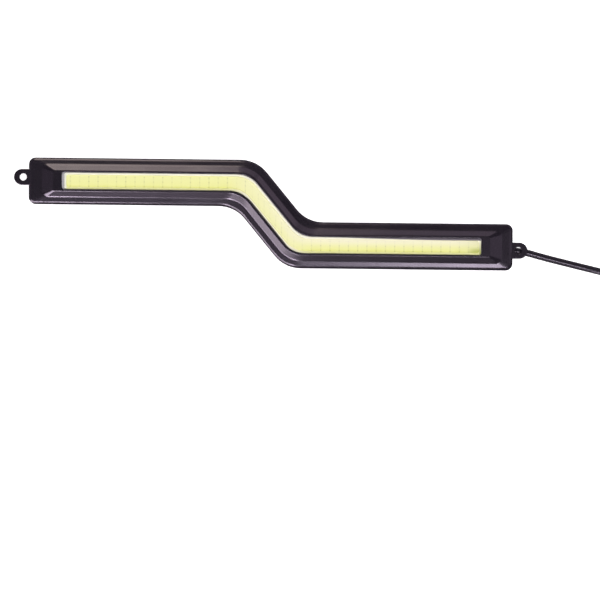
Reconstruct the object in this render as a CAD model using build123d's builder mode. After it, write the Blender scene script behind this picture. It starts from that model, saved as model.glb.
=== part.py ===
from build123d import *

import os
from math import cos, pi, radians, sin, tan

# Daytime running light for a car bumper: a Z-shaped housing with one row of light chips.
# Sizes are in millimetres. X runs along the two arms, Y across them, and Z from the back
# face to the light. The origin is in the middle of the back face.

# Outline, seen from the front
body_length = 208.0  # between the two end walls
body_width = 20.0  # across each arm, and across the slanted middle
arm_offset = 26.4  # between the centrelines of the two arms
bend_angle = 50.4  # slant of the middle against the arms, in degrees
centre_bend = 10.0  # bend radius on the centreline
bend_growth = 0.45  # growth of that radius for each millimetre off the centreline
end_round = 2.8  # corner radius of the outline at the end walls

# Housing, with heights above the back face
wall = 1.6
wall_height = 6.6  # top of the outer wall
rim_rise = 0.6  # the rim climbs this much from the wall to the foot of the bezel
bezel_rise = 2.2  # from the foot of the bezel to its crown
draft = 0.15  # lean of the outer wall over its height
rim_round = 1.5
rim_round_share = 0.55  # the most of the rim that this rounding may take
foot_round = 1.8
crown_round = 0.5
slot_edge_round = 0.2

# Light strip and the slot that shows it
strip_width = 7.0
strip_height = 1.0
strip_recess = 0.9  # from the crown down to the top of the strip
strip_left_gap = 1.0  # from the strip to the end of the slot, where the bare board shows
strip_right_gap = 0.15
strip_round = 1.0
slot_gap = 0.12  # beside the strip
slot_inset = 13.6  # from the right-hand end wall to the end of the slot
left_setback = 0.9  # slot, bezel and board stop this much shorter at the left-hand end
slot_round = 1.0
crown_land = 0.88  # flat of the crown beside the slot
crown_end_land = 3.7  # flat of the crown past the end of the slot
slope_run = 2.4  # the bezel's sides, seen from the front
end_slope_run = 4.9  # its ramps at the two ends
crown_end_round = 1.0
foot_end_round = 2.2

# Silicone dam, phosphor gel and chips on the board
dam_width = 0.9
dam_round = 0.25
gel_sink = 0.05  # the gel's surface below the rounded edge of the dam
chip_count = 48
chip_left_margin = 2.6  # from the end of the strip to its first chip
chip_right_margin = 1.4
chip_width = 0.6
chip_length = 1.1
chip_height = 0.25

# Board, its seal and the pocket that they sit in
board_thickness = 1.0
board_lap = 0.88  # how far the board reaches under the lip of the slot
board_end_lap = 3.6
board_gap = 0.2
board_round = 1.0
seal_thickness = 0.2
seal_width = 0.45
seal_gap = 0.05

# Resistors, diode and solder joints under the crown, past the ends of the slot
bay_length = 2.7
bay_width = 6.8
bay_height = 0.8
bay_setback = 0.7  # from the end of the slot to the bay
resistor_count = 3
resistor_pitch = 1.7
resistor_length = 2.0
resistor_width = 1.25
resistor_height = 0.5
diode_length = 1.7
diode_height = 0.8
joint_setback = 1.4  # from the end of the slot to the solder joints
joint_spacing = 3.0
joint_radius = 0.9
joint_height = 0.55
pin_radius = 0.35
pin_gap = 0.07

# Screw ears
ear_radius = 3.45
ear_reach = 2.8  # from the end wall to the centre of the ear's round end
hole_reach = 2.25  # from the end wall to the screw hole
ear_offset = 1.45  # the ear lies this far outside the arm's centreline
ear_thickness = 1.6
ear_base = 4.7  # underside, above the cable
ear_hole = 3.1
ear_edge = 0.3

# Back cover
cover_thickness = 1.2
cover_lip = 0.8  # wall left standing round the cover
cover_gap = 0.1
tongue_width = 0.8
tongue_height = 1.0
tongue_gap = 0.15
post_count = 7
post_inset = 21.0  # from the end wall to the first post
post_radius = 1.3
post_flare = 0.4  # a post is this much wider at its foot

# Stiffening ribs inside the housing
rib_stations = (30.0, 54.0, 78.0)
rib_thickness = 1.2
rib_depth = 1.4

# Cable, and how it is held where it enters
cable_diameter = 2.9
cable_height = 2.95  # axis of the hole in the end wall
cable_side = 1.2  # the hole lies this far outside the arm's centreline
cable_gap = 0.1
cable_inside = 7.2  # jacket left inside the end wall
block_length = 2.7
block_width = 5.6
block_gap = 0.1
clamp_thickness = 1.2
clamp_width = 7.0
clamp_mouth = 2.4  # the cable is pressed into the clamp through this gap
wire_diameter = 1.1
wire_spread = 1.3  # between the two cores, where the jacket ends
wire_bend = 1.8

# Coil of spare cable, past the right-hand edge of the photograph
coil_x = 64.0  # from the end wall to the coil's centre
coil_y = 4.83  # from the hole in the end wall to the coil's centre
coil_start = 19.3  # radius of the first turn, in the upper layer
coil_pitch = 2.95  # between turns, sideways and up
upper_turns = 2.4
lower_turns = 2.887
coil_slack = 0.2
coil_edge = 1.4  # bevel of the coil and bend of the tie
tie_angle = 120.0
tie_width = 4.0
tie_thickness = 0.5
tie_gap = 0.15
lead_diameter = 1.2
lead_spread = 1.3
tip_length = 5.0
tip_diameter = 0.8

# Worked out from the sizes above
arm = arm_offset / 2
end = body_length / 2
knee = arm_offset / tan(radians(bend_angle)) / 2  # the two bends are this far from the middle
mitre = tan(radians(bend_angle / 2))
outer_half = body_width / 2
slot_half = strip_width / 2 + slot_gap
crown_half = slot_half + crown_land
foot_half = crown_half + slope_run
rim_run = outer_half - draft - foot_half  # the rim, seen from the front
rim_fillet = min(rim_round, rim_round_share * rim_run)
crown_inset = slot_inset - crown_end_land
foot_inset = crown_inset - end_slope_run
foot_height = wall_height + rim_rise
crown_height = foot_height + bezel_rise
strip_left = slot_inset + left_setback + strip_left_gap
strip_right = slot_inset + strip_right_gap
strip_top = crown_height - strip_recess
board_top = strip_top - strip_height
board_bottom = board_top - board_thickness
board_half = slot_half + board_lap
board_inset = slot_inset - board_end_lap
pocket_half = board_half + board_gap
lip_height = board_top + seal_thickness
roof_height = wall_height - wall
cavity_half = outer_half - wall
joint_x = end - slot_inset + joint_setback
joint_y = joint_spacing / 2
ear_top = ear_base + ear_thickness
ear_x = end + ear_reach
hole_x = end + hole_reach
ear_y = arm + ear_offset
cable_y = -arm - cable_side


def z_outline(half_width, end_inset, corner, setback=0.0):
    """The lamp's Z, at a distance from its centreline and short of its end walls."""
    right = end - end_inset
    left = right - setback
    shift = half_width * mitre
    bend = centre_bend + bend_growth * half_width
    half_of_corners = [corner, bend, bend, corner]
    with BuildSketch() as outline:
        with BuildLine():
            FilletPolyline(
                (-left, arm - half_width),
                (-knee - shift, arm - half_width),
                (knee - shift, -arm - half_width),
                (right, -arm - half_width),
                (right, -arm + half_width),
                (knee + shift, -arm + half_width),
                (-knee + shift, arm + half_width),
                (-left, arm + half_width),
                radius=half_of_corners * 2,
                close=True,
            )
        make_face()
    return outline.sketch


def along_centreline(left_inset, right_inset, count):
    """Evenly spaced points on the lamp's centreline, each end so far from its end wall."""
    left = left_inset - end
    right = end - right_inset
    with BuildLine() as centreline:
        FilletPolyline((left, arm), (-knee, arm), (knee, -arm), (right, -arm), radius=centre_bend)
    path = centreline.wire()
    step = path.length / (count - 1)
    return [path.position_at(i * step, PositionMode.LENGTH) for i in range(count)]


def tube(points, radii, diameter):
    """A round wire or cable along straight runs joined by tangent arcs."""
    with BuildPart() as round_tube:
        with BuildLine() as route:
            FilletPolyline(*points, radius=radii)
        start = route.wire()
        with BuildSketch(Plane(origin=start @ 0, z_dir=start % 0)):
            Circle(diameter / 2)
        sweep()
    return round_tube.part


def widest_bends(points):
    """The largest arc that each corner of a cable's route has room for."""
    runs = [Vector(b) - Vector(a) for a, b in zip(points, points[1:])]
    radii = []
    for before, after in zip(runs, runs[1:]):
        half_turn = radians(before.get_angle(after)) / 2
        radii.append(0.45 * min(before.length, after.length) / tan(half_turn))
    return radii


# Housing: one moulding, lofted through its outlines from the back edge up to the crown
with BuildPart() as housing:
    for half_width, end_inset, corner, setback, height in (
        (outer_half, 0, end_round, 0, 0),
        (outer_half - draft, draft, end_round, 0, wall_height),
        (foot_half, foot_inset, foot_end_round, left_setback, foot_height),
        (crown_half, crown_inset, crown_end_round, left_setback, crown_height),
    ):
        with BuildSketch(Plane.XY.offset(height)):
            add(z_outline(half_width, end_inset, corner, setback))
    loft(ruled=True)
    fillet(housing.edges().filter_by_position(Axis.Z, wall_height, wall_height), rim_fillet)
    fillet(housing.edges().filter_by_position(Axis.Z, foot_height, foot_height), foot_round)
    fillet(housing.edges().filter_by_position(Axis.Z, crown_height, crown_height), crown_round)

    # Slot for the light, with a softened edge
    with BuildSketch(Plane.XY.offset(crown_height)):
        add(z_outline(slot_half, slot_inset, slot_round, left_setback))
    extrude(amount=lip_height - crown_height, mode=Mode.SUBTRACT)
    crown_face = housing.faces().sort_by(Axis.Z)[-1]
    fillet(crown_face.inner_wires()[0].edges(), slot_edge_round)

    # Screw ears, rooted in the end walls
    ear_root = ear_reach + wall / 2
    with BuildSketch(Plane.XY.offset(ear_base)):
        with Locations((ear_x, -ear_y), (-ear_x, ear_y)):
            Circle(ear_radius)
        with Locations((ear_x - ear_root / 2, -ear_y), (ear_root / 2 - ear_x, ear_y)):
            Rectangle(ear_root, 2 * ear_radius)
    extrude(amount=ear_thickness)
    ear_rim = housing.edges().filter_by_position(Axis.Z, ear_top, ear_top)
    fillet(ear_rim.filter_by(GeomType.CIRCLE), ear_edge)
    with Locations((hole_x, -ear_y, ear_top), (-hole_x, ear_y, ear_top)):
        Hole(ear_hole / 2, depth=ear_thickness)

    # Hollow back: seat of the cover, main cavity, board pocket and the two component bays
    for half_width, end_inset, corner, setback, low, high in (
        (outer_half - cover_lip, cover_lip, end_round - cover_lip, 0, 0, cover_thickness),
        (cavity_half, wall, end_round - wall, 0, cover_thickness, roof_height),
        (pocket_half, board_inset - board_gap, board_round, left_setback, roof_height, lip_height),
    ):
        with BuildSketch(Plane.XY.offset(low)):
            add(z_outline(half_width, end_inset, corner, setback))
        extrude(amount=high - low, mode=Mode.SUBTRACT)
    bay_x = end - slot_inset + bay_setback + bay_length / 2
    with Locations((bay_x, -arm, lip_height), (left_setback - bay_x, arm, lip_height)):
        Box(
            bay_length,
            bay_width,
            bay_height,
            align=(Align.CENTER, Align.CENTER, Align.MIN),
            mode=Mode.SUBTRACT,
        )

    # Ribs between the board pocket and the outer wall
    rib_length = cavity_half - pocket_half
    rib_side = pocket_half + rib_length / 2
    for x in rib_stations:
        with Locations(
            (x, -arm - rib_side, roof_height),
            (x, -arm + rib_side, roof_height),
            (-x, arm - rib_side, roof_height),
            (-x, arm + rib_side, roof_height),
        ):
            Box(rib_thickness, rib_length, rib_depth, align=(Align.CENTER, Align.CENTER, Align.MAX))

    # Cable clamp behind the end wall, open to the back, and the hole through both
    clamp_x = end - wall - block_length - 2 * block_gap - clamp_thickness
    clamp_base = cover_thickness + block_gap
    with BuildSketch(Plane.YZ.offset(clamp_x)):
        with Locations((cable_y, (clamp_base + roof_height) / 2)):
            Rectangle(clamp_width, roof_height - clamp_base)
        with Locations((cable_y, (clamp_base + cable_height) / 2)):
            Rectangle(clamp_mouth, cable_height - clamp_base, mode=Mode.SUBTRACT)
    extrude(amount=clamp_thickness)
    with BuildSketch(Plane.YZ.offset(clamp_x)):
        with Locations((cable_y, cable_height)):
            Circle(cable_diameter / 2 + cable_gap)
    extrude(amount=end + wall - clamp_x, mode=Mode.SUBTRACT)

# Back cover: a plate with a tongue inside the wall and posts that carry the board
with BuildPart() as back_cover:
    cover_inset = cover_lip + cover_gap
    with BuildSketch():
        add(z_outline(outer_half - cover_inset, cover_inset, end_round - cover_lip))
    extrude(amount=cover_thickness)
    tongue_inset = wall + tongue_gap
    with BuildSketch(Plane.XY.offset(cover_thickness)):
        add(z_outline(outer_half - tongue_inset, tongue_inset, end_round - wall))
        inner_inset = tongue_inset + tongue_width
        add(z_outline(outer_half - inner_inset, inner_inset, end_round - wall), mode=Mode.SUBTRACT)
    extrude(amount=tongue_height)
    post_height = board_bottom - cover_thickness
    post_points = along_centreline(post_inset, post_inset, post_count)
    with Locations(*[(p.X, p.Y, cover_thickness + post_height / 2) for p in post_points]):
        Cone(post_radius + post_flare, post_radius, post_height)
    gate_length = tongue_inset + tongue_width + cable_inside
    with Locations((end - gate_length / 2, cable_y, cover_thickness)):
        Box(
            gate_length,
            clamp_width + 2 * tongue_gap,
            tongue_height + 1,
            align=(Align.CENTER, Align.CENTER, Align.MIN),
            mode=Mode.SUBTRACT,
        )

# Board, with the two holes that the leads are soldered in
with BuildPart() as led_board:
    with BuildSketch(Plane.XY.offset(board_bottom)):
        add(z_outline(board_half, board_inset, board_round, left_setback))
        with Locations((joint_x, -arm + joint_y), (joint_x, -arm - joint_y)):
            Circle(pin_radius + pin_gap, mode=Mode.SUBTRACT)
    extrude(amount=board_thickness)

# Seal between the board and the lip of the slot
with BuildPart() as slot_seal:
    with BuildSketch(Plane.XY.offset(board_top)):
        for reach, corner, mode in (
            (seal_gap + seal_width, slot_round + seal_gap + seal_width, Mode.ADD),
            (seal_gap, slot_round, Mode.SUBTRACT),
        ):
            add(z_outline(slot_half + reach, slot_inset - reach, corner, left_setback), mode=mode)
    extrude(amount=seal_thickness)

# Light chips, set square to the arms all along the strip
with BuildPart() as led_chips:
    first_inset = strip_left + chip_left_margin
    last_inset = strip_right + chip_right_margin
    chip_points = along_centreline(first_inset, last_inset, chip_count)
    with Locations(*[(p.X, p.Y, board_top) for p in chip_points]):
        Box(chip_width, chip_length, chip_height, align=(Align.CENTER, Align.CENTER, Align.MIN))

# Dam round the gel
gel_half = strip_width / 2 - dam_width
strip_setback = strip_left - strip_right
gel_outline = z_outline(gel_half, strip_right + dam_width, strip_round, strip_setback)
with BuildPart() as gel_dam:
    with BuildSketch(Plane.XY.offset(board_top)):
        add(z_outline(strip_width / 2, strip_right, strip_round, strip_setback))
        add(gel_outline, mode=Mode.SUBTRACT)
    extrude(amount=strip_height)
    fillet(gel_dam.edges().filter_by_position(Axis.Z, strip_top, strip_top), dam_round)

# Phosphor gel, poured over the chips
with BuildPart() as phosphor_gel:
    with BuildSketch(Plane.XY.offset(board_top)):
        add(gel_outline)
    extrude(amount=strip_height - dam_round - gel_sink)
    add(led_chips.part, mode=Mode.SUBTRACT)

# Resistors and diode in the bay at the left-hand end
parts_x = left_setback - bay_x
first_part_y = arm - resistor_count * resistor_pitch / 2
with BuildPart() as chip_resistors:
    resistor_ys = [first_part_y + i * resistor_pitch for i in range(resistor_count)]
    with Locations(*[(parts_x, y, board_top) for y in resistor_ys]):
        Box(
            resistor_length,
            resistor_width,
            resistor_height,
            align=(Align.CENTER, Align.CENTER, Align.MIN),
        )
with BuildPart() as polarity_diode:
    with Locations((parts_x, first_part_y + resistor_count * resistor_pitch, board_top)):
        Box(diode_length, resistor_width, diode_height, align=(Align.CENTER, Align.CENTER, Align.MIN))
    fillet(polarity_diode.edges().filter_by(Axis.X).group_by(Axis.Z)[-1], resistor_width / 5)

# Solder joints: a pin through the board and a cone of solder on it
with BuildPart() as solder_joints:
    pin_base = board_bottom - seal_thickness
    pin_length = board_top - pin_base
    for side in (1, -1):
        with Locations((joint_x, -arm + side * joint_y, pin_base)):
            Cylinder(pin_radius, pin_length, align=(Align.CENTER, Align.CENTER, Align.MIN))
        with Locations((joint_x, -arm + side * joint_y, board_top + joint_height / 2)):
            Cone(joint_radius, pin_radius, joint_height)

# The two cores inside the housing, from the end of the jacket up to the board
jacket_end = end - cable_inside


def inner_wire(side):
    start_y = cable_y + side * wire_spread / 2
    joint = -arm + side * joint_y
    points = [
        (jacket_end, start_y, cable_height),
        (jacket_end - wire_bend, start_y, cable_height),
        (joint_x, joint, cable_height),
        (joint_x, joint, pin_base),
    ]
    return tube(points, wire_bend, wire_diameter)


with BuildPart() as red_wire:
    add(inner_wire(1))
with BuildPart() as black_wire:
    add(inner_wire(-1))

# Rubber block that seals and holds the cable between the end wall and the clamp
with BuildPart() as seal_block:
    block_x = end - wall - block_gap - block_length
    with BuildSketch(Plane.YZ.offset(block_x)):
        with Locations((cable_y, (cover_thickness + roof_height) / 2)):
            Rectangle(block_width, roof_height - cover_thickness)
        with Locations((cable_y, cable_height)):
            Circle(cable_diameter / 2 + block_gap / 2, mode=Mode.SUBTRACT)
    extrude(amount=block_length)

# Coil of spare cable as one plain ring, held by a tie
coil_centre = Vector(end + coil_x, cable_y + coil_y, 0)
coil_inner = coil_start - upper_turns * coil_pitch
coil_end = coil_inner + lower_turns * coil_pitch
ring_inner = coil_inner - cable_diameter / 2 - coil_slack
ring_outer = max(coil_start, coil_end) + cable_diameter / 2 + coil_slack
ring_height = coil_pitch + cable_diameter + coil_slack
with BuildPart() as cable_coil:
    with BuildSketch(Plane((coil_centre.X, coil_centre.Y, tie_thickness))):
        Circle(ring_outer)
        Circle(ring_inner, mode=Mode.SUBTRACT)
    extrude(amount=ring_height)
    chamfer(cable_coil.edges().filter_by(GeomType.CIRCLE), coil_edge)

with BuildPart() as coil_tie:
    outward = Vector(cos(radians(tie_angle)), sin(radians(tie_angle)), 0)
    tie_plane = Plane(coil_centre, x_dir=outward, z_dir=outward.cross(Vector(0, 0, 1)))
    inner_chord = (ring_inner**2 - tie_width**2 / 4) ** 0.5
    tie_low = inner_chord - tie_gap
    tie_high = ring_outer + tie_gap
    with BuildSketch(tie_plane):
        with Locations(((tie_low + tie_high) / 2, ring_height / 2 + tie_thickness)):
            RectangleRounded(
                tie_high - tie_low + 2 * tie_thickness,
                ring_height + 2 * tie_thickness,
                coil_edge,
            )
            RectangleRounded(
                tie_high - tie_low,
                ring_height,
                coil_edge - tie_thickness,
                mode=Mode.SUBTRACT,
            )
    extrude(amount=tie_width / 2, both=True)

# Cable from the clamp to the coil. Each point is a step from the hole in the end wall.
lower_z = tie_thickness + cable_diameter / 2
upper_z = lower_z + coil_pitch
cable_steps = [
    (-cable_inside, 0.0, cable_height),
    (2.5, 0.0, cable_height),
    (13.0, -2.96, 2.55),
    (24.0, -5.56, 1.75),
    (35.0, -8.15, 1.46),
    (45.2, -10.56, 3.1),
    (53.0, -12.4, 4.8),
    (59.57, -13.95, upper_z),
]
cable_route = [(end + dx, cable_y + dy, z) for dx, dy, z in cable_steps]
cable_bends = widest_bends(cable_route)
with BuildPart() as cable:
    whole_cable = tube(cable_route, cable_bends, cable_diameter)
    add(whole_cable)
    add(cable_coil.part, mode=Mode.SUBTRACT)

# Far end of the cable: it leaves the lower layer of the coil and ends in two bare leads
tail_steps = [
    (coil_end, 0.0, lower_z),
    (coil_end + 0.3, 7.0, 1.75),
    (coil_end + 1.1, 14.0, 1.46),
]
tail_route = [(coil_centre.X + dx, coil_centre.Y + dy, z) for dx, dy, z in tail_steps]
tail_bends = widest_bends(tail_route)
with BuildPart() as cable_tail:
    whole_tail = tube(tail_route, tail_bends, cable_diameter)
    add(whole_tail)
    add(cable_coil.part, mode=Mode.SUBTRACT)

tail_end = Vector(tail_route[-1])
tail_heading = (tail_end - Vector(tail_route[-2])).normalized()
tail_side = tail_heading.cross(Vector(0, 0, 1)).normalized()


def lead_points(side):
    """From the end of the jacket to the end of a lead's insulation, on the floor."""
    start = tail_end + tail_side * (side * lead_spread / 2)
    bend = start + tail_heading * 7 + tail_side * (side * 0.3)
    stop = start + tail_heading * 16 + tail_side * (side * 1.4)
    floor = lead_diameter / 2
    return [start, Vector(bend.X, bend.Y, floor + 0.25), Vector(stop.X, stop.Y, floor)]


def far_lead(side):
    points = lead_points(side)
    return tube(points, widest_bends(points), lead_diameter)


with BuildPart() as red_lead:
    add(far_lead(-1))
with BuildPart() as black_lead:
    add(far_lead(1))
with BuildPart() as tinned_tips:
    for side in (-1, 1):
        before, stop = lead_points(side)[1:]
        with BuildSketch(Plane(origin=stop, z_dir=stop - before)):
            Circle(tip_diameter / 2)
        extrude(amount=tip_length)

# What was made, for reading while the model is worked on
section = pi * cable_diameter**2 / 4
for name, bends, whole in (("cable", cable_bends, whole_cable), ("tail", tail_bends, whole_tail)):
    radii = [round(r, 1) for r in bends]
    print(name, "bend radii", radii, "volume over section", round(whole.volume / section, 2))
print("ear hole", round(hole_x, 2), round(ear_y, 2), "cable hole", round(cable_y, 2))
print("heights: strip", round(strip_top, 2), "board", round(board_top, 2), "crown", round(crown_height, 2))

os.makedirs("parts", exist_ok=True)
pieces = {
    "housing": housing,
    "back_cover": back_cover,
    "led_board": led_board,
    "slot_seal": slot_seal,
    "led_chips": led_chips,
    "gel_dam": gel_dam,
    "phosphor_gel": phosphor_gel,
    "chip_resistors": chip_resistors,
    "polarity_diode": polarity_diode,
    "solder_joints": solder_joints,
    "red_wire": red_wire,
    "black_wire": black_wire,
    "seal_block": seal_block,
    "cable": cable,
    "cable_coil": cable_coil,
    "coil_tie": coil_tie,
    "cable_tail": cable_tail,
    "red_lead": red_lead,
    "black_lead": black_lead,
    "tinned_tips": tinned_tips,
}
for name, piece in pieces.items():
    piece.part.label = name
    export_step(piece.part, f"parts/{name}.step")
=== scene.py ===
# %% [markdown]
# # A Z-shaped daytime running light on a white light table
#
# The lamp comes in as a finished CAD model, already in place and in metres. This lesson
# dresses it: a camera, a cable that lies like a cable, a gel strip with its row of chips,
# a finish for every piece, and the light that draws the gloss on black plastic.

# %% Load the lamp
from math import asin, cos, pi, radians, sin, tan

import bmesh
import bpy
from mathutils import Matrix, Vector


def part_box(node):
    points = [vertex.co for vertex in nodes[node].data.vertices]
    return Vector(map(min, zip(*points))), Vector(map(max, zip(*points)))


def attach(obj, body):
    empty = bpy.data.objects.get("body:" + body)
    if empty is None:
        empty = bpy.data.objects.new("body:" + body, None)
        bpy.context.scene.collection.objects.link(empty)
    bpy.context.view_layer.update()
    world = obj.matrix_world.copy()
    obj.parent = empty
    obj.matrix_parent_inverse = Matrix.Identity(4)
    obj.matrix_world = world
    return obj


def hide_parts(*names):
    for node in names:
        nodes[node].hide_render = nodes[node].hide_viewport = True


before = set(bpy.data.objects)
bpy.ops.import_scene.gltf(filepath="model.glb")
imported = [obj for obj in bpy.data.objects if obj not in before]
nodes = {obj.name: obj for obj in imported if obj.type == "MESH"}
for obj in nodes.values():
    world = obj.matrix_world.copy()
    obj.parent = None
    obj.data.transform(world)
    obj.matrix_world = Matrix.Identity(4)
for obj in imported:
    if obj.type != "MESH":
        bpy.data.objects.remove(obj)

MM = 0.001
scene = bpy.context.scene
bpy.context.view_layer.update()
print("nodes:", ", ".join(sorted(nodes)))

# %% [markdown]
# The photograph looks straight down on the lamp, from far enough away that its walls hardly
# show. A long lens does that. The lamp sits in the upper half of the frame, so the camera
# stands over a point below it, and a small roll gives the lamp its slight slant.

# %% Camera over the table
view_width = 257.2 * MM  # width of the frame at the height of the lamp's edge
edge_height = 6.0 * MM
camera_distance = 1500.0 * MM
camera_point = Vector((12.97, -36.8)) * MM
camera_roll = radians(0.63)

camera_data = bpy.data.cameras.new("table_camera")
camera_data.lens = camera_data.sensor_width * camera_distance / view_width
camera = bpy.data.objects.new("table_camera", camera_data)
camera.location = (*camera_point, edge_height + camera_distance)
camera.rotation_euler = (0, 0, camera_roll)
scene.collection.objects.link(camera)
scene.camera = camera
print("lens in mm:", round(camera_data.lens, 1))

# %% [markdown]
# The cable is a round two-core lead. It leaves a hole in the end wall, passes under the screw
# ear, sinks to the table and runs out of the picture, where it climbs onto the coil of its own
# spare length. A smooth curve needs only a few points for that. Each is given as its
# steps from the hole in X and Y and its height over the table, in millimetres.

# %% Route of the cable
cable_diameter = 2.9
cable_hole = Vector((104.0, -14.4, 2.95))
route_steps = [
    (-7.2, 0.0, 2.95),
    (2.5, 0.0, 2.95),
    (13.0, -2.96, 2.55),
    (24.0, -5.56, 1.75),
    (35.0, -8.15, 1.46),
    (45.2, -10.56, 3.1),
    (53.0, -12.4, 4.8),
    (59.57, -13.95, 4.9),
]
route = [Vector((cable_hole.x + dx, cable_hole.y + dy, z)) for dx, dy, z in route_steps]
print("points up to the coil:", len(route))

# %% [markdown]
# The coil has two layers. Its turns could be copies of a ring, but a wound cable is one spiral:
# it winds inwards on the upper layer, steps down, and winds outwards on the lower one to its
# free end. A loop works that out, point by point.

# %% Turns of the coil
coil_centre = Vector((168.0, -9.57, 0.0))
coil_pitch = 2.95  # between neighbouring turns of a layer
upper_turns, lower_turns = 2.4, 2.887
upper_radius = 19.3  # where the cable comes in
upper_height, lower_height = 4.9, 1.95
layer_change = 0.2  # part of a turn in which the cable steps down
points_per_turn = 24
inner_radius = upper_radius - upper_turns * coil_pitch
outer_radius = inner_radius + lower_turns * coil_pitch
first_angle = radians(-103.28)
tail_steps = [(0.3, 7.0, 1.75), (1.1, 14.0, 1.46)]  # out from the last turn, along Y, height

turn_count = upper_turns + lower_turns
coil_points = round(turn_count * points_per_turn)
for i in range(1, coil_points + 1):
    turn = turn_count * i / coil_points
    angle = first_angle + 2 * pi * turn
    radius = inner_radius + abs(turn - upper_turns) * coil_pitch
    drop = min(max((turn - upper_turns) / layer_change + 0.5, 0.0), 1.0)
    height = upper_height + (lower_height - upper_height) * drop
    route.append(coil_centre + Vector((radius * cos(angle), radius * sin(angle), height)))
for dx, dy, z in tail_steps:
    route.append(coil_centre + Vector((outer_radius + dx, dy, z)))
steps_mm = [(after - before).length for before, after in zip(route, route[1:])]
print("cable points:", len(route), "over", round(sum(steps_mm), 1), "mm")

# %% [markdown]
# The cable itself could be swept as a mesh. One smooth NURBS curve with a round bevel bends as
# a cable does, and needs only the route. The bevel is a circle of radius 1, and each point's
# own radius scales it to half the cable's thickness.

# %% Cable as one NURBS curve
cable_data = bpy.data.curves.new("cable_jacket", "CURVE")
cable_data.dimensions = "3D"
cable_data.bevel_depth = 1.0
cable_data.bevel_resolution = 6
cable_data.resolution_u = 5
cable_data.use_fill_caps = True
spline = cable_data.splines.new("NURBS")
spline.points.add(len(route) - 1)
for point, place in zip(spline.points, route):
    point.co = (*(place * MM), 1.0)
    point.radius = cable_diameter / 2 * MM
spline.order_u = 3
spline.use_endpoint_u = True

cable = bpy.data.objects.new("cable_jacket", cable_data)
scene.collection.objects.link(cable)
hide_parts("cable", "cable_coil", "cable_tail")
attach(cable, "root")
print("cable:", cable_diameter, "mm thick")

# %% [markdown]
# Three pieces have outlines with rounded corners: the tie of the coil, and the silicone dam and
# the gel of the strip. They could be cut from blocks, but a pen is closer to how a dam is made,
# by a nozzle that walks along the board: it goes straight to each corner and then turns. In
# bmesh the straight run is an extruded vertex, and the turn is a spin about the corner's
# centre, so every bend is a true arc.

# %% A pen that draws rounded outlines
arc_steps = 10


def draw_outline(bm, corners, radii, height):
    """A closed outline at a height, with its corners rounded. Returns its edges."""
    known = set(bm.edges)
    first = pen = None
    for i, (here, radius) in enumerate(zip(corners, radii)):
        run = (here - corners[i - 1]).normalized()
        leave = (corners[(i + 1) % len(corners)] - here).normalized()
        turn = -run.angle_signed(leave)
        start = here - run * radius * tan(abs(turn) / 2)
        centre = start + Vector((-run.y, run.x)) * (radius if turn > 0 else -radius)
        if pen is None:
            first = pen = bm.verts.new()
        else:
            pen = bmesh.ops.extrude_vert_indiv(bm, verts=[pen])["verts"][0]
        pen.co = Vector((*start, height)) * MM
        arc = bmesh.ops.spin(
            bm,
            geom=[pen],
            cent=Vector((*centre, height)) * MM,
            axis=(0, 0, 1),
            angle=turn,
            steps=arc_steps,
        )
        pen = [g for g in arc["geom_last"] if isinstance(g, bmesh.types.BMVert)][0]
    bm.edges.new((pen, first))
    return [e for e in bm.edges if e not in known]


# %% [markdown]
# The tie and the dam are rings. Four outlines, bridged one to the next and the last to the
# first, make a ring of square section, and a bevel rounds the edges that show. A finished
# piece then takes the place of its CAD node, and says so.

# %% Rings, and finished pieces
bevel_steps = 4


def bridge_ring(bm, outlines, rounded, edge_mm):
    """Closes outlines into a ring and rounds the edges along some of them."""
    for outline, following in zip(outlines, outlines[1:] + outlines[:1]):
        bmesh.ops.bridge_loops(bm, edges=outline + following)
    bmesh.ops.bevel(
        bm,
        geom=[edge for i in rounded for edge in outlines[i]],
        offset=edge_mm * MM,
        segments=bevel_steps,
        profile=0.5,
        affect="EDGES",
        material=-1,
    )


def place_piece(bm, name, node):
    """Makes a finished bmesh an object that stands for a CAD node."""
    bmesh.ops.recalc_face_normals(bm, faces=bm.faces)
    mesh = bpy.data.meshes.new(name)
    bm.to_mesh(mesh)
    bm.free()
    piece = bpy.data.objects.new(name, mesh)
    scene.collection.objects.link(piece)
    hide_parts(node)
    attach(piece, "root")
    low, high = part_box(node)
    print(name, len(mesh.polygons), "faces; CAD box in mm:", [round(v / MM, 2) for v in (*low, *high)])
    return piece


# %% [markdown]
# The tie is a nylon strap pulled tight round the coil. It goes round the five strands that
# pass it, three below and two above, so its outline follows the outermost four at half the
# cable's thickness. The pen draws flat outlines only, so the strap is drawn lying down and
# then stood up across the coil.

# %% Tie round the coil
tie_angle = radians(120)
tie_width, tie_thickness, tie_slack, tie_edge = 4.0, 0.5, 0.15, 0.15
first_pass = (tie_angle - first_angle) / (2 * pi)
over = [inner_radius + coil_pitch * (upper_turns - first_pass - i) for i in (0, 1)]
under = [inner_radius + coil_pitch * (first_pass + i - upper_turns) for i in (2, 4)]
strands = [
    Vector((under[0] - tie_slack, lower_height)),
    Vector((under[1], lower_height)),
    Vector((over[0], upper_height)),
    Vector((over[1] - tie_slack, upper_height)),
]


def strap_corners(reach):
    """Corners of the strap's outline at a distance from the strands' middles."""
    corners = []
    for i, strand in enumerate(strands):
        before = (strand - strands[i - 1]).normalized()
        after = (strands[(i + 1) % len(strands)] - strand).normalized()
        sides = [Vector((run.y, -run.x)) for run in (before, after)]
        corners.append(strand + reach * (sides[0] + sides[1]) / (1 + sides[0].dot(sides[1])))
    return corners


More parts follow.
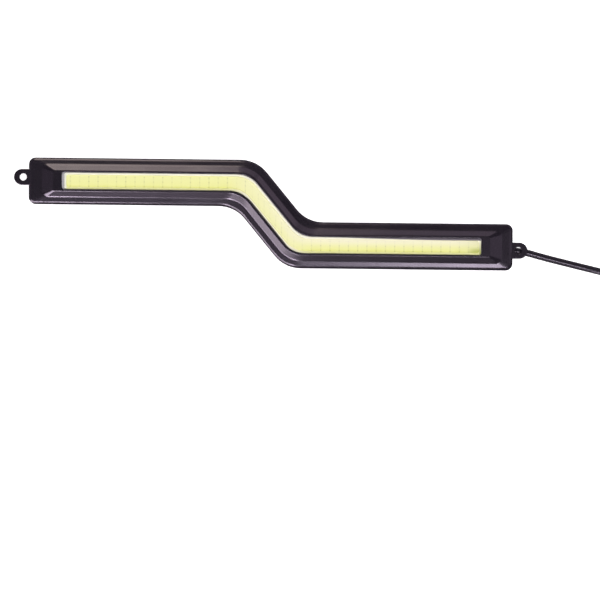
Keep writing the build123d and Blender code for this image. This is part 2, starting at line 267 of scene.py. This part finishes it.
bm = bmesh.new()
inside = cable_diameter / 2
outside = inside + tie_thickness
outlines = [
    draw_outline(bm, strap_corners(reach), [reach] * len(strands), side * tie_width / 2)
    for reach, side in ((outside, -1), (outside, 1), (inside, 1), (inside, -1))
]
bridge_ring(bm, outlines, (0, 1), tie_edge)
stand_up = Matrix.Rotation(tie_angle, 4, "Z") @ Matrix.Rotation(pi / 2, 4, "X")
bmesh.ops.transform(bm, matrix=Matrix.Translation(coil_centre * MM) @ stand_up, verts=bm.verts)
for face in bm.faces:
    face.smooth = True
cable_tie = place_piece(bm, "cable_tie", "coil_tie")

# %% [markdown]
# What the cable carries is listed: the tie round its coil, and two bare leads with tinned tips.

# %% Cable and what is on it
print("on the cable:", cable_tie.name, "and two leads with tinned tips")

# %% [markdown]
# The yellow strip is phosphor silicone, poured over a row of tiny chips between the walls of a
# pale silicone dam. Both follow the lamp's Z, so the pen draws that next: eight corners, four
# of them bends, whose radius grows with the distance from the centreline.

# %% Outline of the lamp's Z
arm = 26.4 / 2  # from the middle of the lamp to the centreline of an arm
bend_angle = radians(50.4)
centre_bend, bend_growth = 10.0, 0.45  # bend radius, and its growth off the centreline
knee = arm / tan(bend_angle)
print("the centreline turns", round(knee, 2), "mm from the middle")


def draw_z(bm, half_width, left, right, corner, height):
    """A closed outline of the lamp's Z with rounded corners. Returns its edges."""
    shift = half_width * tan(bend_angle / 2)
    bend = centre_bend + bend_growth * half_width
    lower = [(left, -1, arm), (-knee - shift, -1, arm), (knee - shift, -1, -arm), (right, -1, -arm)]
    upper = [(right, 1, -arm), (knee + shift, 1, -arm), (-knee + shift, 1, arm), (left, 1, arm)]
    corners = [Vector((x, y + side * half_width)) for x, side, y in lower + upper]
    return draw_outline(bm, corners, [corner, bend, bend, corner] * 2, height)


# %% [markdown]
# The chips show through the gel as faint upright ticks, evenly spaced along the bent strip.
# A pattern on plain X would crowd them in the slanted middle. So both silicone pieces get a
# UV map: U counts chips along the centreline, and V is the height above it in centimetres.
# The first job is to find how far along the strip a place lies.

# %% Distance along the strip
chip_count, chip_width = 48, 0.6
chips_low, chips_high = [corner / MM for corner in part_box("led_chips")]
first_chip, last_chip = chips_low.x + chip_width / 2, chips_high.x - chip_width / 2
bend_start = knee + centre_bend * tan(bend_angle / 2)
bend_end = bend_start - centre_bend * sin(bend_angle)


def along_strip(x):
    """Length along the centreline from the lamp's middle to x, and the centreline's y there."""
    far = abs(x)
    sign = 1 if x > 0 else -1
    slant = min(far, bend_end) / cos(bend_angle)
    turned = asin(min(max((bend_start - far) / centre_bend, 0.0), sin(bend_angle)))
    length = slant + centre_bend * (bend_angle - turned) + max(far - bend_start, 0.0)
    drop = arm - centre_bend * (1 - cos(turned))
    if far < bend_end:
        drop = far * tan(bend_angle)
    return sign * length, -sign * drop


chip_start = along_strip(first_chip)[0]
chip_pitch = (along_strip(last_chip)[0] - chip_start) / (chip_count - 1)
print("chips every", round(chip_pitch, 2), "mm")

# %% [markdown]
# A UV map is straight between the corners of a face, so a long face would blur it at the bends.
# The pieces are sliced there, every millimetre, before the map is written.

# %% Slices and the strip's UV map
slices_reach = 20  # millimetres from the lamp's middle, past both bends
v_unit = 10.0  # millimetres in one step of V


def slice_and_map(bm):
    """Cuts a piece across X at its bends, so that its UV map can follow them."""
    for x in range(-slices_reach, slices_reach + 1):
        geom = bm.verts[:] + bm.edges[:] + bm.faces[:]
        bmesh.ops.bisect_plane(bm, geom=geom, plane_co=(x * MM, 0, 0), plane_no=(1, 0, 0))
    uv_layer = bm.loops.layers.uv.new("strip")
    for face in bm.faces:
        face.smooth = True
        for corner in face.loops:
            length, middle = along_strip(corner.vert.co.x / MM)
            across = corner.vert.co.y / MM - middle
            corner[uv_layer].uv = ((length - chip_start) / chip_pitch, across / v_unit)


# %% [markdown]
# The dam is a ring of stiff silicone with a rounded top. Its four outlines are the outer
# foot, the outer top, the inner top and the inner foot, and the two top ones are rounded
# as the real bead is. Its sizes are read from the CAD pieces that it and the gel stand for.

# %% Silicone dam
dam_low, dam_high = [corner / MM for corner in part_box("gel_dam")]
gel_low, gel_high = [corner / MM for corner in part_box("phosphor_gel")]
board_top, dam_top, gel_top = dam_low.z, dam_high.z, gel_high.z
strip_left, strip_right = dam_low.x, dam_high.x
strip_half = dam_high.y - arm
dam_width = gel_low.x - dam_low.x
gel_half = strip_half - dam_width
strip_corner, dam_edge = 1.0, 0.25

bm = bmesh.new()
rings = [
    draw_z(bm, half, strip_left + inset, strip_right - inset, strip_corner, height)
    for half, inset, height in (
        (strip_half, 0, board_top),
        (strip_half, 0, dam_top),
        (gel_half, dam_width, dam_top),
        (gel_half, dam_width, board_top),
    )
]
bridge_ring(bm, rings, (1, 2), dam_edge)
slice_and_map(bm)
place_piece(bm, "silicone_dam", "gel_dam")

# %% [markdown]
# The gel fills the ring nearly to its rim. Poured silicone climbs a little where it wets the
# dam, so the edge of its surface stands a hair above the middle. An inset face, lowered by
# that hair, gives the meniscus.

# %% Phosphor gel
meniscus_width, meniscus_rise = 0.5, 0.06
bm = bmesh.new()
outline = draw_z(bm, gel_half, strip_left + dam_width, strip_right - dam_width, strip_corner, board_top)
base = bmesh.ops.contextual_create(bm, geom=outline)["faces"]
raised = bmesh.ops.extrude_face_region(bm, geom=base)["geom"]
top_verts = [g for g in raised if isinstance(g, bmesh.types.BMVert)]
bmesh.ops.translate(bm, verts=top_verts, vec=(0, 0, (gel_top - board_top) * MM))
top_face = [g for g in raised if isinstance(g, bmesh.types.BMFace)]
bmesh.ops.inset_region(bm, faces=top_face, thickness=meniscus_width * MM, depth=-meniscus_rise * MM)
slice_and_map(bm)
place_piece(bm, "poured_gel", "phosphor_gel")

# %% [markdown]
# Finishes come next. Colours are written as the hex values a paint program shows, and one
# function turns them into the linear light that a renderer computes with. Another adds a node:
# its inputs are numbers, colours or the sockets that they are linked from.

# %% Colours and nodes
def hex_colour(code):
    """Linear RGBA of an sRGB colour such as #1f1a22."""
    channels = [int(code[i : i + 2], 16) / 255 for i in (1, 3, 5)]
    return (*[c / 12.92 if c <= 0.04045 else ((c + 0.055) / 1.055) ** 2.4 for c in channels], 1.0)


def add_node(tree, kind, inputs, **settings):
    """Adds a node to a tree, with its settings, and sets or links its inputs by name or place."""
    node = tree.nodes.new(kind)
    for name, value in settings.items():
        setattr(node, name, value)
    for name, value in inputs.items():
        if isinstance(value, bpy.types.NodeSocket):
            tree.links.new(value, node.inputs[name])
        else:
            node.inputs[name].default_value = value
    return node


# %% [markdown]
# A finish starts as one shader. What is the same all over the surface, such as the gloss of a
# metal, is set on the shader itself, so that it survives an export. Only what changes from
# place to place comes through other nodes.

# %% New finishes
def new_finish(name, **surface):
    """A material with its Principled shader, whose constant inputs are set straight away."""
    material = bpy.data.materials.new(name)
    material.use_nodes = True
    shader = material.node_tree.nodes["Principled BSDF"]
    for key, value in surface.items():
        shader.inputs[key.replace("_", " ")].default_value = value
    return material, material.node_tree, shader


def dress(name, material):
    """Gives a CAD node or a new piece its finish."""
    piece = nodes.get(name) or bpy.data.objects[name]
    piece.data.materials.clear()
    piece.data.materials.append(material)
    print(name, "in", material.name)


# %% [markdown]
# Real surfaces are never one colour. A finish here starts from a ground colour, and coats are
# laid over it, each as strong as its share from 0 to 1: a noise gives clouds, and a region gives
# a patch. A region could be painted by hand. It is computed instead, as a product of soft
# edges along the coordinates of the piece, so it stays clean at any size.

# %% Coats and regions
MIX_UNDER, MIX_OVER, MIX_RESULT = 6, 7, 2  # places of the colours among a Mix node's sockets


def lay_coats(tree, ground, coats):
    """Colour of a ground with coats over it, each a share and a hex code or a socket."""
    colour = hex_colour(ground) if isinstance(ground, str) else ground
    for share, coat in coats:
        over = hex_colour(coat) if isinstance(coat, str) else coat
        inputs = {"Factor": share, MIX_UNDER: colour, MIX_OVER: over}
        colour = add_node(tree, "ShaderNodeMix", inputs, data_type="RGBA").outputs[MIX_RESULT]
    return colour


def region(tree, strength, *edges):
    """Grows to a strength inside soft edges, each a socket, where it starts and where it is full."""
    share = strength
    for socket, start, full in edges:
        limits = {"Value": socket, "From Min": start, "From Max": full}
        edge = add_node(tree, "ShaderNodeMapRange", limits, interpolation_type="SMOOTHSTEP").outputs[0]
        share = add_node(tree, "ShaderNodeMath", {0: edge, 1: share}, operation="MULTIPLY").outputs[0]
    return share


# %% [markdown]
# The housing is black ABS from a polished mould. Its gloss is what the eye sees: the colour
# is nearly black with a breath of purple, and the surface has the faint ripple, called orange
# peel, that moulded gloss always has, with slightly duller clouds where it was handled. A
# mould's edges are never knife-sharp, so a Bevel node rounds the shading of those that the
# CAD model leaves sharp.

# %% Gloss black ABS
cloud_mm = 14.0
cloud_low, cloud_high = 0.3, 0.7  # range of the noise that the gloss follows


def moulded_plastic(name, dark, light, roughness, peel_mm, peel_depth_mm, ior, soft_edge_mm=0.0):
    """Moulded plastic: cloudy colour and gloss, a ripple of the given size and depth, soft edges."""
    material, tree, shader = new_finish(name, IOR=ior)
    place = add_node(tree, "ShaderNodeTexCoord", {}).outputs["Object"]
    clouds = {"Vector": place, "Scale": 1 / (cloud_mm * MM), "Detail": 3.0}
    cloud = add_node(tree, "ShaderNodeTexNoise", clouds).outputs["Fac"]
    tree.links.new(lay_coats(tree, dark, [(cloud, light)]), shader.inputs["Base Color"])
    dulling = {"Value": cloud, "From Min": cloud_low, "From Max": cloud_high}
    dulling["To Min"], dulling["To Max"] = roughness
    dull = add_node(tree, "ShaderNodeMapRange", dulling)
    tree.links.new(dull.outputs["Result"], shader.inputs["Roughness"])
    peel = {"Vector": place, "Scale": 1 / (peel_mm * MM), "Detail": 2.0}
    ripple = add_node(tree, "ShaderNodeTexNoise", peel).outputs["Fac"]
    relief = {"Height": ripple, "Distance": peel_depth_mm * MM, "Strength": 1.0}
    if soft_edge_mm:
        edge = add_node(tree, "ShaderNodeBevel", {"Radius": soft_edge_mm * MM}, samples=8)
        relief["Normal"] = edge.outputs["Normal"]
    bump = add_node(tree, "ShaderNodeBump", relief)
    tree.links.new(bump.outputs["Normal"], shader.inputs["Normal"])
    return material


gloss_abs = moulded_plastic(
    "gloss_black_abs", "#1a161d", "#221d26", (0.17, 0.24), 2.0, 0.004, 1.53, soft_edge_mm=0.35
)
dress("housing", gloss_abs)

# %% [markdown]
# The CAD mesh arrives as loose triangles, so each flat would shade apart from the fillet beside
# it. Three modifiers mend that without touching the mesh: Weld joins the triangles, Edge Split
# keeps the true corners, and Weighted Normal lets the large flats rule the shading.

# %% Smooth shading for the CAD pieces
weld_gap = 0.001 * MM
corner_angle = radians(35)
for node in nodes.values():
    weld = node.modifiers.new("join_triangles", "WELD")
    weld.merge_threshold = weld_gap
    split = node.modifiers.new("keep_corners", "EDGE_SPLIT")
    split.split_angle = corner_angle
    normals = node.modifiers.new("flats_rule", "WEIGHTED_NORMAL")
    normals.mode = "FACE_AREA_WITH_ANGLE"
print("smoothly shaded CAD pieces:", len(nodes))

# %% [markdown]
# The other plastics and rubbers are made the same way and differ in gloss and grain. The back
# cover has the fine spark-eroded grain of a cheap mould, drawn twice as coarse as it is so that
# it shows. The cable jacket and the insulation are soft PVC, drawn through a die, with a dull
# shine. Rubber drinks the light, and nylon has a satin skin. On the board the resistors are
# glazed over their print, and the diode is matt moulded epoxy.

# %% Matt plastics, PVC and rubber
dull_shine = (0.35, 0.45)
plastics = [
    # finish, dark and light tone, roughness, grain and its depth in mm, IOR, pieces
    ("matt_black_abs", "#1a171b", "#221e23", (0.5, 0.6), 0.5, 0.02, 1.53, ["back_cover"]),
    ("black_pvc_jacket", "#16141a", "#1f1c24", (0.22, 0.28), 1.2, 0.01, 1.52, ["cable_jacket"]),
    ("black_pvc_insulation", "#141214", "#1c191c", dull_shine, 0.8, 0.01, 1.52, ["black_wire", "black_lead"]),
    ("red_pvc_insulation", "#9c1414", "#b81c18", dull_shine, 0.8, 0.01, 1.52, ["red_wire", "red_lead"]),
    ("black_rubber", "#1b1a1b", "#242224", (0.7, 0.8), 0.6, 0.02, 1.5, ["seal_block"]),
    ("nylon_tie", "#1a181a", "#232023", (0.4, 0.5), 1.0, 0.01, 1.53, ["cable_tie"]),
    ("printed_resistor", "#161618", "#202024", (0.3, 0.4), 0.5, 0.005, 1.53, ["chip_resistors"]),
    ("moulded_epoxy", "#1c1c1e", "#262628", (0.5, 0.6), 0.4, 0.01, 1.53, ["polarity_diode"]),
]
for *look, pieces in plastics:
    plastic = moulded_plastic(*look)
    for piece in pieces:
        dress(piece, plastic)

# %% [markdown]
# The gel is silicone full of yellow phosphor. The chips under it are too small to see one by
# one: each shows as a thin olive tick with three darker dots, one for each bond. A row of
# separate marks could be modelled, but one pattern on the strip's own coordinates draws them
# all. It folds U to the nearest chip, so that every chip has its own small ruler.

# %% Gel, and the nearest chip
def strip_place(tree):
    """A point's place on the strip: chips along it, and millimetres above its centreline."""
    uv = add_node(tree, "ShaderNodeUVMap", {}, uv_map="strip")
    split = add_node(tree, "ShaderNodeSeparateXYZ", {"Vector": uv.outputs["UV"]})
    across = add_node(tree, "ShaderNodeMath", {0: split.outputs["Y"], 1: v_unit}, operation="MULTIPLY")
    return split.outputs["X"], across.outputs[0]


gel_finish, tree, shader = new_finish("yellow_phosphor_silicone", Roughness=0.42, IOR=1.41)
chips_along, across_mm = strip_place(tree)
past_chip = add_node(tree, "ShaderNodeMath", {0: chips_along, 1: 0.5}, operation="ADD").outputs[0]
part_of_pitch = add_node(tree, "ShaderNodeMath", {0: past_chip}, operation="FRACT").outputs[0]
off_chip = add_node(tree, "ShaderNodeMath", {0: part_of_pitch, 1: 0.5}, operation="SUBTRACT").outputs[0]
along_mm = add_node(tree, "ShaderNodeMath", {0: off_chip, 1: chip_pitch}, operation="MULTIPLY").outputs[0]
side_mm = add_node(tree, "ShaderNodeMath", {0: along_mm}, operation="ABSOLUTE").outputs[0]
print("gel:", gel_finish.name, "with", len(tree.nodes), "nodes so far")

# %% [markdown]
# The tick is a soft line over the chip's middle, and the dots are soft rounds on it. Both are
# regions that start a little way off and are full close by.

# %% Ticks and dots
tick_share, tick_edge, tick_top = 0.09, (0.38, 0.12), (2.1, 1.7)
dot_share, dot_edge = 0.27, (0.45, 0.15)
bond_heights = (1.75, -0.2, -2.3)
marks = region(tree, tick_share, (side_mm, *tick_edge), (across_mm, *tick_top))
for bond in bond_heights:
    rise = add_node(tree, "ShaderNodeMath", {0: across_mm, 1: bond}, operation="SUBTRACT").outputs[0]
    spot = add_node(tree, "ShaderNodeCombineXYZ", {"X": along_mm, "Y": rise}).outputs[0]
    reach = add_node(tree, "ShaderNodeVectorMath", {0: spot}, operation="LENGTH").outputs["Value"]
    dot = region(tree, dot_share, (reach, *dot_edge))
    marks = add_node(tree, "ShaderNodeMath", {0: marks, 1: dot}, operation="MAXIMUM").outputs[0]
print("ticks:", chip_count, "with", len(bond_heights), "dots each")

# %% [markdown]
# Some chips lie deeper than others. A random number for each chip says how clear its mark is,
# and the number of the chip is all that it is drawn from, so the marks stay the same in every
# render. On the right arm all of them show.

# %% How clear each tick is
faintest, arm_clearness = 0.2, 0.95
chip_number = add_node(tree, "ShaderNodeMath", {0: past_chip}, operation="FLOOR").outputs[0]
chance = add_node(tree, "ShaderNodeTexWhiteNoise", {"W": chip_number}, noise_dimensions="1D")
showing = {"Value": chance.outputs["Value"], "To Min": faintest, "To Max": 1.0}
clear = add_node(tree, "ShaderNodeMapRange", showing).outputs[0]
clear_arm = region(tree, arm_clearness, (chips_along, 27.0, 30.0))
clearest = add_node(tree, "ShaderNodeMath", {0: clear, 1: clear_arm}, operation="MAXIMUM").outputs[0]
marks = add_node(tree, "ShaderNodeMath", {0: marks, 1: clearest}, operation="MULTIPLY").outputs[0]
print("ticks are at least", faintest, "clear, and", arm_clearness, "on the right arm")

# %% [markdown]
# Under its ticks the gel is pale and milky, a little darker and greener along its lower edge.
# That edge is partly the gel's own yellow and partly painted shade, where the slot's lower wall
# keeps light off it. A ramp from edge to edge paints it, and a noise as wide as the clouds in
# poured silicone gives the milk.

# %% Milky body of the gel
milk_mm = 5.0
place = add_node(tree, "ShaderNodeTexCoord", {}).outputs["Object"]
clouds = {"Vector": place, "Scale": 1 / (milk_mm * MM), "Detail": 3.0}
milk = add_node(tree, "ShaderNodeTexNoise", clouds).outputs["Fac"]
edge_to_edge = {"Value": across_mm, "From Min": -gel_half, "From Max": gel_half}
up_the_gel = add_node(tree, "ShaderNodeMapRange", edge_to_edge).outputs[0]
# painted shade: the ramp darkens and greens the gel towards its lower edge
body = add_node(tree, "ShaderNodeValToRGB", {"Fac": up_the_gel})
body.color_ramp.elements[0].color = hex_colour("#e0e26c")
body.color_ramp.elements[1].color = hex_colour("#f5f5b0")
body.color_ramp.elements.new(0.25).color = hex_colour("#efef98")
print("clouds in the gel:", milk_mm, "mm wide")

# %% [markdown]
# The coats follow in the order in which they cover each other. The slanted middle is more
# even than the arms. The ticks lie over it. A pale sheen veils the upper half of the right arm:
# the gel is too dull to mirror one light so evenly, so the sheen is a coat like the others. The
# last chips are duller, and the lower corner there is olive. The poured surface is softly
# uneven, which breaks up its shine.

# %% Phosphor silicone
lump_mm, lump_depth = 2.5, 0.05
slant_starts, slant_ends = (16.5, 19.5), (29.0, 26.5)
# Limits are in chips along the strip, and in millimetres above its centreline.
slanted_gel = region(tree, 0.75, (chips_along, *slant_starts), (chips_along, *slant_ends))
sheen = region(tree, 0.85, (chips_along, 18.0, 34.0), (across_mm, -1.6, 2.4))
last_chips = region(tree, 0.4, (chips_along, 44.0, 47.3))
olive_corner = region(tree, 0.85, (chips_along, 45.6, 46.9), (across_mm, 0.4, -2.6))
gel_coats = [
    (milk, "#f3f3a6"),
    (slanted_gel, "#f4f2bc"),
    (marks, "#6e6e34"),
    (sheen, "#f9f4d8"),
    (last_chips, "#d8d9a0"),
    (olive_corner, "#aeb74a"),
]
tree.links.new(lay_coats(tree, body.outputs["Color"], gel_coats), shader.inputs["Base Color"])
poured = {"Vector": place, "Scale": 1 / (lump_mm * MM), "Detail": 2.0}
lumps = add_node(tree, "ShaderNodeTexNoise", poured).outputs["Fac"]
bump = add_node(tree, "ShaderNodeBump", {"Height": lumps, "Distance": lump_depth * MM, "Strength": 1.0})
tree.links.new(bump.outputs["Normal"], shader.inputs["Normal"])
dress("poured_gel", gel_finish)

# %% [markdown]
# The dam is white silicone, and its yellow here is painted light: glow bounced from the gel
# beside it. The upper run is painted cream, as lit, and the lower one yellower, as painted
# shade, less so on the slant. A fine mottle goes over these runs, and the beads across the two
# ends are coloured apart: the left one pale, the right one olive below and cream above.

# %% Painted light and tones on the dam
dam_grain, mottle_share = 1.5, 0.6
dam_finish, tree, shader = new_finish("white_silicone", Roughness=0.48, IOR=1.41)
chips_along, across_mm = strip_place(tree)
place = add_node(tree, "ShaderNodeTexCoord", {}).outputs["Object"]
clouds = {"Vector": place, "Scale": 1 / (dam_grain * MM), "Detail": 3.0}
grain = add_node(tree, "ShaderNodeTexNoise", clouds).outputs["Fac"]
mottle = add_node(tree, "ShaderNodeMath", {0: grain, 1: mottle_share}, operation="MULTIPLY").outputs[0]
slant_edges = (chips_along, *slant_starts), (chips_along, *slant_ends)
slanted_dam = region(tree, 1.0, *slant_edges)
# painted light: the dam pales from its lower edge up to its upper run
lit_upper_run = region(tree, 1.0, (across_mm, -strip_half, strip_half))
left_bead = region(tree, 1.0, (chips_along, -0.3, -0.5))
right_bead = region(tree, 1.0, (chips_along, 47.05, 47.2))
bead_top = region(tree, 1.0, (across_mm, -2.5, 2.5))
# painted light and shade, with the dam's own mottle and its end beads
tones_and_light = [
    (slanted_dam, "#efe9d6"),
    (lit_upper_run, "#fdfbe8"),
    (mottle, "#f5f3d2"),
    (left_bead, "#f6f5e2"),
    (right_bead, lay_coats(tree, "#b3b76c", [(bead_top, "#f0edd2")])),
]
# the yellow ground is painted light, bounced from the gel
toned_and_lit = lay_coats(tree, "#dedd80", tones_and_light)
print("stains on the dam:", len(tones_and_light))

# %% [markdown]
# Two lines of the dam lie in the shade of the slot's walls: a grey one that grows along the
# upper run of the right arm, and a dark one below the slant. The even light of the table
# leaves no such shade, so the lines are coats too. Stiff silicone is set down in one bead, and
# its skin is a little uneven.

# %% White silicone
dam_grain_depth = 0.03
growing = {"Value": chips_along, "From Min": 27.0, "From Max": 44.0, "To Min": 0.1, "To Max": 1.0}
shade_mm = add_node(tree, "ShaderNodeMapRange", growing, interpolation_type="SMOOTHSTEP").outputs[0]
under_wall = add_node(tree, "ShaderNodeMath", {0: across_mm, 1: shade_mm}, operation="ADD").outputs[0]
grey_line = region(tree, 1.0, (under_wall, 3.45, 3.75), (chips_along, 28.5, 31.0))
dark_line = region(tree, 1.0, (across_mm, -4.7, -5.1), *slant_edges)
shades = [(grey_line, "#6a646c"), (dark_line, "#4c4742")]
tree.links.new(lay_coats(tree, toned_and_lit, shades), shader.inputs["Base Color"])
relief = {"Height": grain, "Distance": dam_grain_depth * MM, "Strength": 1.0}
bump = add_node(tree, "ShaderNodeBump", relief)
tree.links.new(bump.outputs["Normal"], shader.inputs["Normal"])
dress("silicone_dam", dam_finish)

# %% [markdown]
# What is left are small pieces. The board's solder mask is a satin white paint, its seal is
# clear silicone that looks milky, and the chips are bare crystal with a hard gleam. Solder and
# tinned copper are bright metals, a little rough from how they set. For all of them two tones
# and a fine unevenness are enough.

# %% Board, seal, chips and metals
def plain_finish(name, dark, light, grain_mm, bump_mm, **surface):
    """A finish whose colour wanders between two tones, with a fine unevenness."""
    material, tree, shader = new_finish(name, **surface)
    place = add_node(tree, "ShaderNodeTexCoord", {}).outputs["Object"]
    clouds = {"Vector": place, "Scale": 1 / (grain_mm * MM), "Detail": 3.0}
    grain = add_node(tree, "ShaderNodeTexNoise", clouds).outputs["Fac"]
    tree.links.new(lay_coats(tree, dark, [(grain, light)]), shader.inputs["Base Color"])
    bump = add_node(tree, "ShaderNodeBump", {"Height": grain, "Distance": bump_mm * MM, "Strength": 1.0})
    tree.links.new(bump.outputs["Normal"], shader.inputs["Normal"])
    return material


solder_mask = plain_finish("white_solder_mask", "#b9b5bb", "#c6c2c8", 0.8, 0.01, Roughness=0.35, IOR=1.5)
clear_silicone = plain_finish("clear_silicone", "#d8d8d2", "#e8e8e4", 1.0, 0.02, Roughness=0.3, IOR=1.41)
light_chip = plain_finish("light_chip", "#b9bfc4", "#d3d7d8", 0.2, 0.002, Roughness=0.2, IOR=1.77)
solder = plain_finish("solder", "#a9abae", "#c9cbce", 0.5, 0.02, Roughness=0.3, Metallic=1.0)
tinned = plain_finish("tinned_copper", "#b4b2ae", "#d2cfc9", 0.3, 0.04, Roughness=0.32, Metallic=1.0)
dress("led_board", solder_mask)
dress("slot_seal", clear_silicone)
dress("led_chips", light_chip)
dress("solder_joints", solder)
dress("tinned_tips", tinned)

# %% [markdown]
# The table is a sheet of backlit acrylic. A plain sheet would go grey and take the lamp's
# shadow. This one glows by itself, so the shadow is lost in it, and the ground is as white as
# paper. The lamp's gloss doesn't mirror it, and it doesn't block the lowest lights.

# %% Light table
table_half = 3.0  # metres
bm = bmesh.new()
bmesh.ops.create_grid(bm, x_segments=1, y_segments=1, size=table_half)
floor_mesh = bpy.data.meshes.new("light_table")
bm.to_mesh(floor_mesh)
bm.free()
floor = bpy.data.objects.new("light_table", floor_mesh)
scene.collection.objects.link(floor)
table_finish, tree, shader = new_finish(
    "backlit_acrylic", Roughness=0.6, Emission_Color=hex_colour("#ffffff"), Emission_Strength=0.8
)
shader.inputs["Base Color"].default_value = hex_colour("#f4f4f4")
floor_mesh.materials.append(table_finish)
floor.visible_glossy = False
floor.visible_shadow = False
print("light table:", 2 * table_half, "m wide")

# %% [markdown]
# Black gloss shows only what it mirrors, so the light is placed by reflection. Seen from
# above, a slope of the bezel mirrors the horizon on its side, and a rim mirrors a place high
# up. Boxes at the rear left draw the two warm lines of the left arm's upper side. Boxes at the
# front left draw the slanted middle and the nose of the bezel, and one high on the front right
# draws the band along the right arm. Faint panels lift the ramps at both ends, the far side of
# the slant and the flats, and a small box gives the cable its glint. One wide light without
# gloss lights the yellow strip.

# %% Studio light
def soft_box(name, place, target, size, radiance, colour, matt=False):
    """An area light aimed at a point, for gloss alone or for matt surfaces alone."""
    data = bpy.data.lights.new(name, "AREA")
    data.shape = "RECTANGLE"
    data.size, data.size_y = size
    data.energy = radiance * pi * size[0] * size[1]
    data.color = hex_colour(colour)[:3]
    box = bpy.data.objects.new(name, data)
    box.location = place
    box.rotation_euler = (Vector(target) - Vector(place)).to_track_quat("-Z", "Y").to_euler()
    box.visible_camera = False
    box.visible_glossy = not matt
    box.visible_diffuse = matt
    scene.collection.objects.link(box)


soft_box("overhead_fill", (0, 0, 1.2), (0, 0, 0), (1.6, 1.6), 2.55, "#ffffff", matt=True)
gloss_boxes = [
    # name, place, target and size in metres, radiance, colour
    ("rear_left", (-0.17, 0.7, 0.3), (-0.06, 0.02, 0.01), (0.3, 0.6), 5.0, "#ffeae4"),
    ("rear_left_high", (-0.14, 0.5, 0.62), (-0.06, 0.02, 0.01), (0.3, 0.2), 3.2, "#ffeae4"),
    ("front_left_high", (-0.36, -0.54, 0.36), (-0.02, 0, 0.01), (0.6, 0.26), 13.0, "#f6e4fb"),
    ("front_left_low", (-0.5, -0.42, -0.05), (-0.02, 0, 0.01), (0.3, 0.42), 5.8, "#f6e4f6"),
    ("front_left_turn", (-0.31, -0.57, -0.03), (-0.02, 0, 0.01), (0.2, 0.4), 3.2, "#f6e4f6"),
    ("front_left_panel", (-0.18, -0.36, 0.95), (-0.03, 0, 0.01), (0.5, 0.25), 0.65, "#f0d9f7"),
    ("left_end_tall", (-0.165, -0.58, 0.42), (-0.1, 0.003, 0.006), (0.06, 0.45), 18.0, "#f6e4fb"),
    ("left_panel", (-0.78, 0, 0.65), (-0.09, 0.016, 0.01), (0.3, 0.4), 0.35, "#f0d9f7"),
    ("front_low", (-0.09, -0.6, 0.06), (-0.06, 0.01, 0.01), (0.2, 0.18), 0.9, "#f0d9f7"),
    ("front_right_high", (0.2, -0.4, 0.9), (0.06, -0.02, 0.01), (0.25, 0.2), 17.5, "#f4e4fb"),
    ("rear_right", (0.2, 0.7, 0.12), (0.06, -0.01, 0.01), (0.5, 0.25), 0.6, "#f4d4f2"),
    ("rear_turn", (0.52, 0.42, 0.08), (0.01, 0, 0.01), (0.3, 0.3), 0.7, "#f4d4f2"),
    ("right_panel", (0.72, 0, 0.77), (0.09, -0.013, 0.01), (0.3, 0.7), 0.75, "#f0d9f7"),
    ("top_panel", (0.06, 0, 1.3), (0.02, 0, 0), (0.5, 0.3), 0.22, "#f0d9f7"),
    ("cable_glint", (0.02, -0.45, 0.55), (0.125, -0.022, 0.003), (0.15, 0.1), 7.5, "#e6dcf0"),
]
for gloss_box in gloss_boxes:
    soft_box(*gloss_box)
print("soft boxes for gloss:", len(gloss_boxes))

# %% [markdown]
# Between the boxes the gloss mirrors the room. A dim room, palest on a level with the lamp and
# dark above, keeps the slopes from going quite black. The colours of the picture are shown as
# they are, without a film curve.

# %% Dim room
wall_glow, ceiling_glow = 0.45, 0.05
world = bpy.data.worlds.new("dim_room")
world.use_nodes = True
tree = world.node_tree
direction = add_node(tree, "ShaderNodeTexCoord", {}).outputs["Generated"]
upward = add_node(tree, "ShaderNodeSeparateXYZ", {"Vector": direction}).outputs["Z"]
level = add_node(tree, "ShaderNodeMath", {0: upward}, operation="ABSOLUTE").outputs[0]
fading = {"Value": level, "From Min": 0.0, "From Max": 0.6, "To Min": wall_glow, "To Max": ceiling_glow}
glow = add_node(tree, "ShaderNodeMapRange", fading, interpolation_type="SMOOTHSTEP").outputs[0]
background = tree.nodes["Background"]
background.inputs["Color"].default_value = hex_colour("#ecdaf0")
tree.links.new(glow, background.inputs["Strength"])
scene.world = world
scene.view_settings.view_transform = "Standard"
print("room:", wall_glow, "at the walls,", ceiling_glow, "above")
